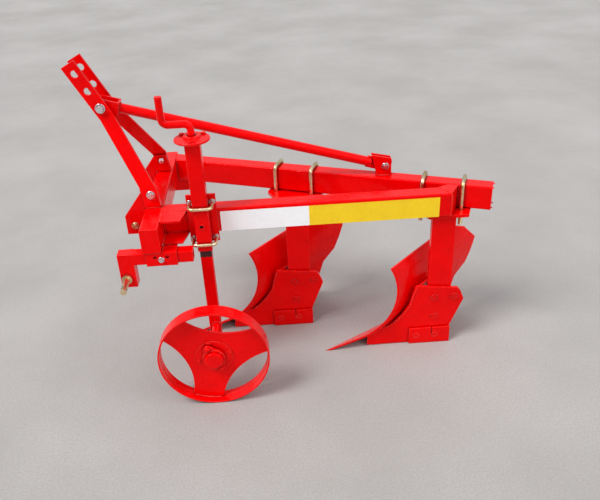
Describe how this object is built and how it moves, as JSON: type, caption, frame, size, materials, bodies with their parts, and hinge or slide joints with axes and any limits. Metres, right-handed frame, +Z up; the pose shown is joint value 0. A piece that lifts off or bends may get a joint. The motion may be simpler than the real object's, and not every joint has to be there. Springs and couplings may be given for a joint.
{
  "type": "moldboard plough",
  "caption": "Mounted two-furrow moldboard plough with a three-point hitch, a diagonal box-tube frame and a screw-set depth wheel.",
  "frame": {"origin": "bottom centre of the plough's own box, on the floor it stands on", "axes": "+X forward, the way it is pulled; +Y left, to the landside; +Z up"},
  "size_m": [1.4632, 0.8806, 1.1232],
  "materials": {
    "red_paint": "glossy bright red paint",
    "yellow_zinc": "yellow-passivated zinc",
    "bright_zinc": "bright zinc"
  },
  "bodies": {
    "frame": {"brace_lug": "red_paint", "brace_lug_bolt": "bright_zinc", "corner_gusset_bottom": "red_paint", "corner_gusset_top": "red_paint", "cross_member": "red_paint", "depth_crank": "red_paint", "front_beam_rod_1": "yellow_zinc", "front_beam_rod_2": "yellow_zinc", "front_frog": "red_paint", "front_landside": "red_paint", "front_moldboard": "red_paint", "front_moldboard_stay": "red_paint", "front_share": "red_paint", "front_standard": "red_paint", "headstock_plate_left": "red_paint", "headstock_plate_right": "red_paint", "hitch_arm_left": "red_paint", "hitch_arm_right": "red_paint", "hitch_pin_left": "yellow_zinc", "hitch_pin_right": "yellow_zinc", "hitch_sleeve_left": "red_paint", "hitch_sleeve_right": "red_paint", "leg_bearing": "red_paint", "leg_clamp_plate": "red_paint", "leg_clamp_rod_lower": "yellow_zinc", "leg_clamp_rod_upper": "yellow_zinc", "leg_tube": "red_paint", "main_beam": "red_paint", "mast_bolt": "bright_zinc", "mast_brace": "red_paint", "mast_strap_left": "red_paint", "mast_strap_right": "red_paint", "rear_beam_rod_1": "yellow_zinc", "rear_beam_rod_2": "yellow_zinc", "rear_frog": "red_paint", "rear_landside": "red_paint", "rear_moldboard": "red_paint", "rear_moldboard_stay": "red_paint", "rear_share": "red_paint", "rear_standard": "red_paint", "side_beam": "red_paint"},
    "leg": {"slide_tube": "red_paint", "wheel_axle": "red_paint"},
    "wheel": {"wheel_rim": "red_paint", "wheel_disc": "red_paint", "wheel_hub": "red_paint"}
  },
  "joints": [
    {"name": "depth_slide", "type": "slide", "parent": "frame", "child": "leg", "axis": [0, 0, 1], "range_m": [-0.06, 0.2]},
    {"name": "wheel_spin", "type": "hinge", "parent": "leg", "child": "wheel", "pos_m": [0.30936, 0.40385, 0.1905], "axis": [0, 1, 0], "continuous": true}
  ]
}
